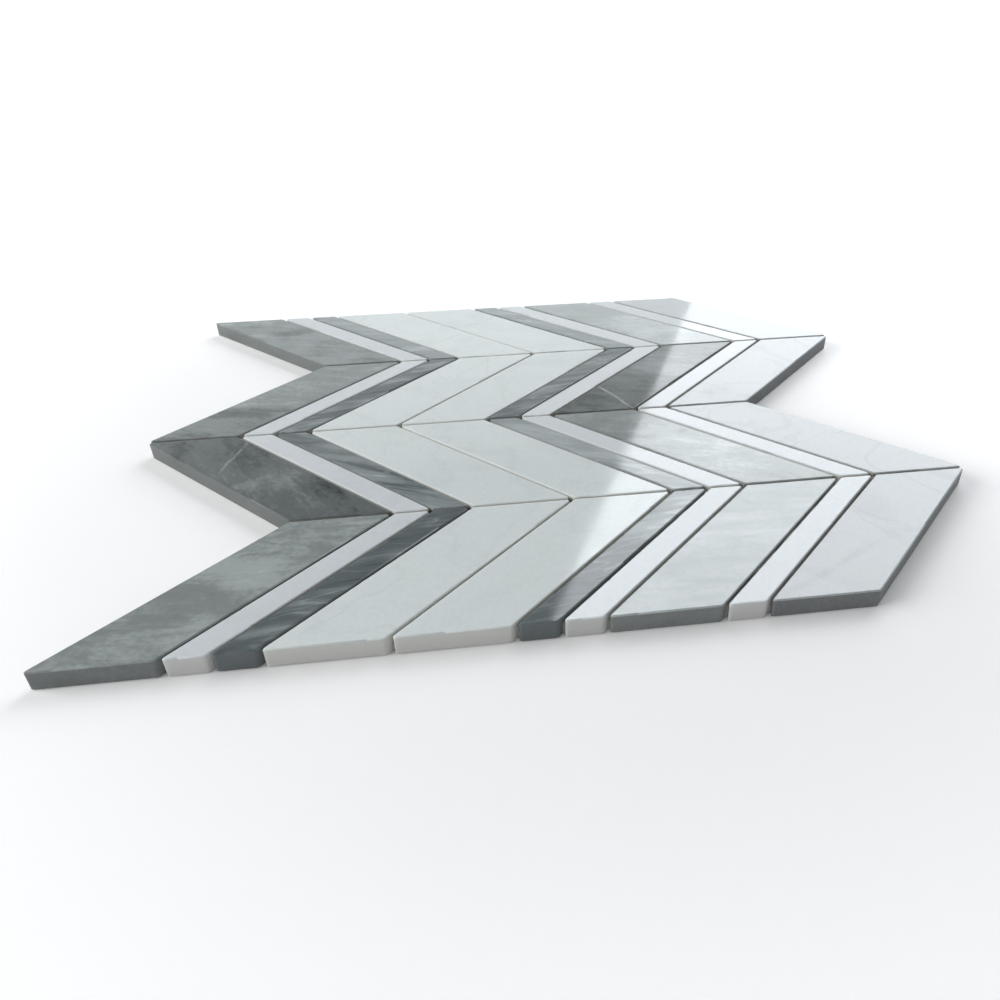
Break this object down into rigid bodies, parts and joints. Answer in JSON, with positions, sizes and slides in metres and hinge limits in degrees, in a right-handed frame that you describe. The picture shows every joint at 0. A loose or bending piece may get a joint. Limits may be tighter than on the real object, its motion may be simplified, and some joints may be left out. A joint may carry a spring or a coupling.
{
  "type": "marble mosaic tile",
  "caption": "Chevron marble mosaic sheet: slanted polished strips of grey and white stone in mirrored rows on a net backing, for walls and floors.",
  "frame": {"origin": "middle of the sheet's box, on the underside of the net", "axes": "+X across the chevron from the grey end to the pale end, +Y from row to row, +Z out of the polished face"},
  "size_m": [0.3864, 0.3196, 0.0084],
  "materials": {
    "grey_marble": "polished face, honed sawn sides, clouded mid grey with paler veins",
    "dark_grey_marble": "polished face, honed sawn sides, dark grey with diagonal darker and paler bands",
    "snow_white_marble": "polished face, plain bright white with a fine crystal grain",
    "soft_white_marble": "polished face, soft white with a faint cool cast and few veins",
    "pale_grey_marble": "polished face, pale grey with soft cloudy veins",
    "glass_fibre_net": "open woven net stiffened with beige adhesive"
  },
  "bodies": {
    "root": {"net_backing": "glass_fibre_net", "row1_grey_band_1": "grey_marble", "row1_white_liner_1": "snow_white_marble", "row1_grey_liner_1": "dark_grey_marble", "row1_white_band_1": "soft_white_marble", "row1_white_band_2": "soft_white_marble", "row1_grey_liner_2": "dark_grey_marble", "row1_white_liner_2": "snow_white_marble", "row1_grey_band_2": "grey_marble", "row1_white_liner_3": "snow_white_marble", "row1_pale_band": "pale_grey_marble", "row2_grey_band_1": "grey_marble", "row2_white_liner_1": "snow_white_marble", "row2_grey_liner_1": "dark_grey_marble", "row2_white_band_1": "soft_white_marble", "row2_white_band_2": "soft_white_marble", "row2_grey_liner_2": "dark_grey_marble", "row2_white_liner_2": "snow_white_marble", "row2_grey_band_2": "grey_marble", "row2_white_liner_3": "snow_white_marble", "row2_pale_band": "pale_grey_marble", "row3_grey_band_1": "grey_marble", "row3_white_liner_1": "snow_white_marble", "row3_grey_liner_1": "dark_grey_marble", "row3_white_band_1": "soft_white_marble", "row3_white_band_2": "soft_white_marble", "row3_grey_liner_2": "dark_grey_marble", "row3_white_liner_2": "snow_white_marble", "row3_grey_band_2": "grey_marble", "row3_white_liner_3": "snow_white_marble", "row3_pale_band": "pale_grey_marble", "row4_grey_band_1": "grey_marble", "row4_white_liner_1": "snow_white_marble", "row4_grey_liner_1": "dark_grey_marble", "row4_white_band_1": "soft_white_marble", "row4_white_band_2": "soft_white_marble", "row4_grey_liner_2": "dark_grey_marble", "row4_white_liner_2": "snow_white_marble", "row4_grey_band_2": "grey_marble", "row4_white_liner_3": "snow_white_marble", "row4_pale_band": "pale_grey_marble"}
  },
  "joints": []
}
